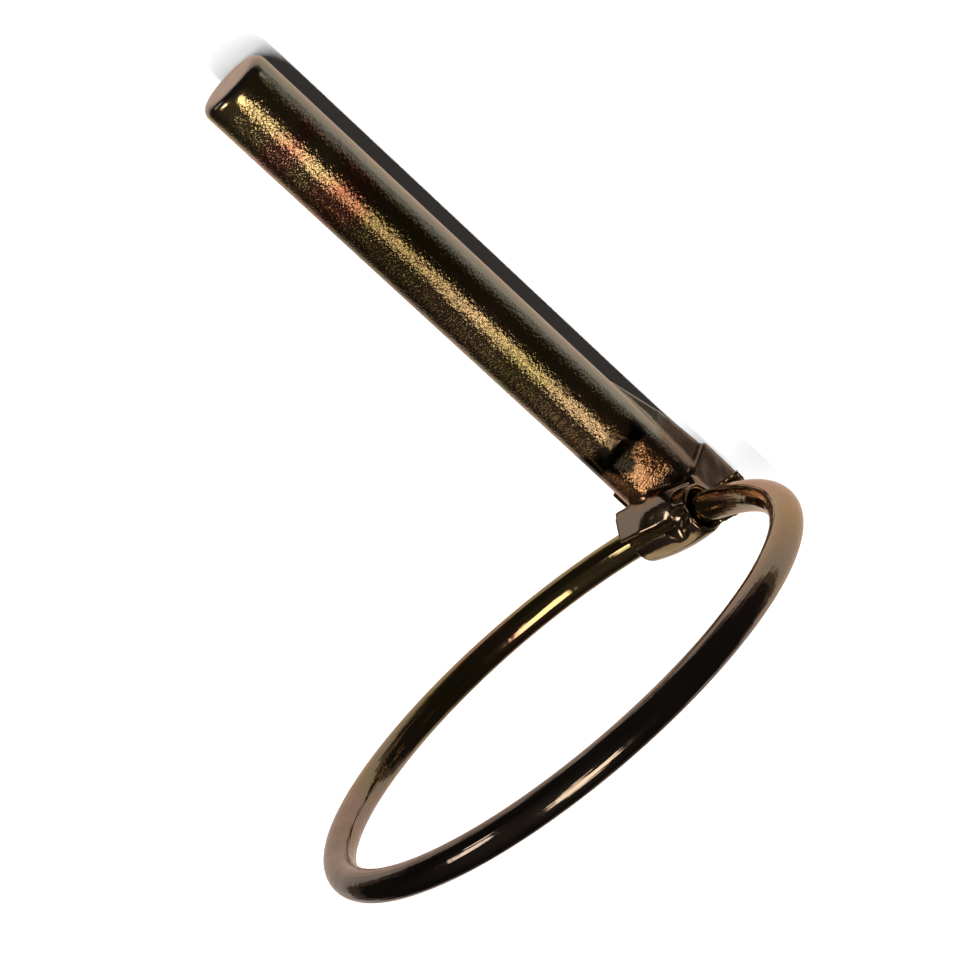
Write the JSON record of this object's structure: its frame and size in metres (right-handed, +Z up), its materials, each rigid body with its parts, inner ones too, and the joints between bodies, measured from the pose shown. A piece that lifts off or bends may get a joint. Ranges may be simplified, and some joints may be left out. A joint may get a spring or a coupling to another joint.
{
  "type": "lynch pin",
  "caption": "Forged lynch pin: a round shank with a rounded tip, and a flat-footed head whose crimped eye carries a swinging wire ring.",
  "frame": {"origin": "on the shank's axis, where the plain round shank meets the head", "axes": "+X along the shank towards its tip, +Z up from the flat foot, +Y across the head along the eye"},
  "size_m": [0.0507, 0.0434, 0.0478],
  "materials": {
    "plated_steel": "dark yellow-bronze zinc plate on a slightly pitted forging",
    "plated_wire": "glossy yellow-bronze zinc plate on smooth wire"
  },
  "bodies": {
    "pin": {"pin": "plated_steel"},
    "ring": {"ring": "plated_wire"}
  },
  "joints": [
    {"name": "ring_swing", "type": "hinge", "parent": "pin", "child": "ring", "pos_m": [-0.01, 0, 0.0035], "axis": [0, -1, 0], "range_deg": [-77, 101]}
  ]
}
